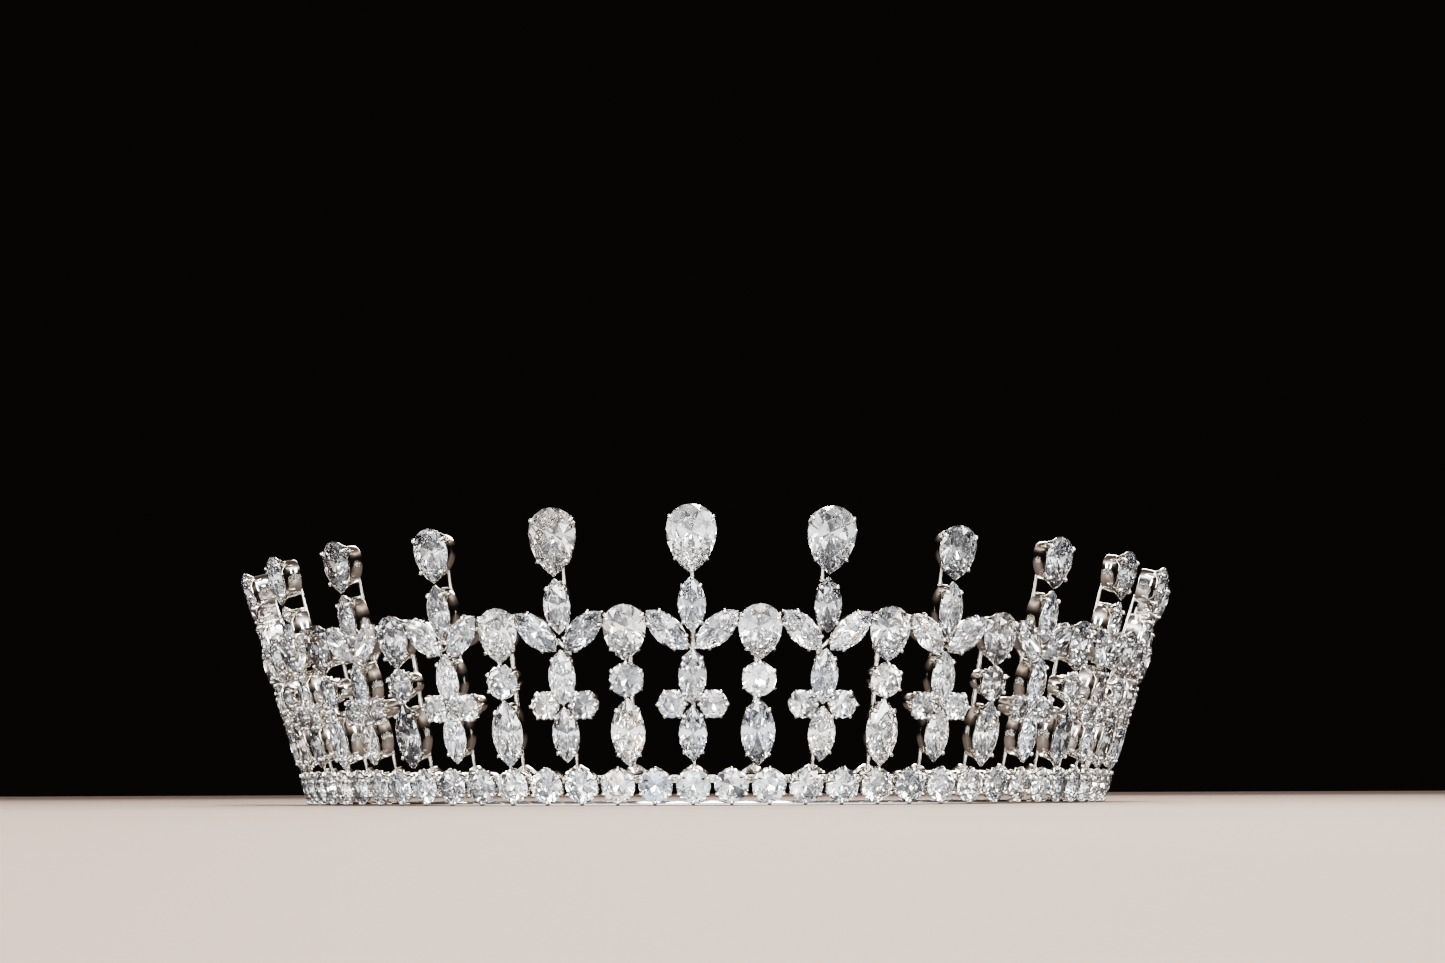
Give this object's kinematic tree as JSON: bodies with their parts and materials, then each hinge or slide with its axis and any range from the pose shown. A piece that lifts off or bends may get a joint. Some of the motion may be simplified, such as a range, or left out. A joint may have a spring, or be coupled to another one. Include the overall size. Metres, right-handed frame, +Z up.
{
  "type": "bridal tiara",
  "caption": "Half-circle bridal tiara: a row of round stones under tall marquise and pear spires, with shorter columns between them, in claw settings.",
  "frame": {"origin": "middle of the bounding box's underside, on the table that the tiara stands on", "axes": "+Z up, the front faces -Y, +X to the viewer's right when facing the front"},
  "size_m": [0.1856, 0.094, 0.0471],
  "materials": {
    "rhodium_silver": "polished rhodium-plated silver",
    "clear_crystal": "colourless faceted crystal"
  },
  "bodies": {
    "root": {"upper_rail": "rhodium_silver", "lower_rail": "rhodium_silver", "base_collets": "rhodium_silver", "base_stones": "clear_crystal", "end_loop_left": "rhodium_silver", "end_loop_right": "rhodium_silver", "spire_frame_01": "rhodium_silver", "spire_stones_01": "clear_crystal", "spire_frame_02": "rhodium_silver", "spire_stones_02": "clear_crystal", "spire_frame_03": "rhodium_silver", "spire_stones_03": "clear_crystal", "spire_frame_04": "rhodium_silver", "spire_stones_04": "clear_crystal", "spire_frame_05": "rhodium_silver", "spire_stones_05": "clear_crystal", "spire_frame_06": "rhodium_silver", "spire_stones_06": "clear_crystal", "spire_frame_07": "rhodium_silver", "spire_stones_07": "clear_crystal", "spire_frame_08": "rhodium_silver", "spire_stones_08": "clear_crystal", "spire_frame_09": "rhodium_silver", "spire_stones_09": "clear_crystal", "spire_frame_10": "rhodium_silver", "spire_stones_10": "clear_crystal", "spire_frame_11": "rhodium_silver", "spire_stones_11": "clear_crystal", "spire_frame_12": "rhodium_silver", "spire_stones_12": "clear_crystal", "spire_frame_13": "rhodium_silver", "spire_stones_13": "clear_crystal", "short_frame_01": "rhodium_silver", "short_stones_01": "clear_crystal", "short_frame_02": "rhodium_silver", "short_stones_02": "clear_crystal", "short_frame_03": "rhodium_silver", "short_stones_03": "clear_crystal", "short_frame_04": "rhodium_silver", "short_stones_04": "clear_crystal", "short_frame_05": "rhodium_silver", "short_stones_05": "clear_crystal", "short_frame_06": "rhodium_silver", "short_stones_06": "clear_crystal", "short_frame_07": "rhodium_silver", "short_stones_07": "clear_crystal", "short_frame_08": "rhodium_silver", "short_stones_08": "clear_crystal", "short_frame_09": "rhodium_silver", "short_stones_09": "clear_crystal", "short_frame_10": "rhodium_silver", "short_stones_10": "clear_crystal", "short_frame_11": "rhodium_silver", "short_stones_11": "clear_crystal", "short_frame_12": "rhodium_silver", "short_stones_12": "clear_crystal"}
  },
  "joints": []
}
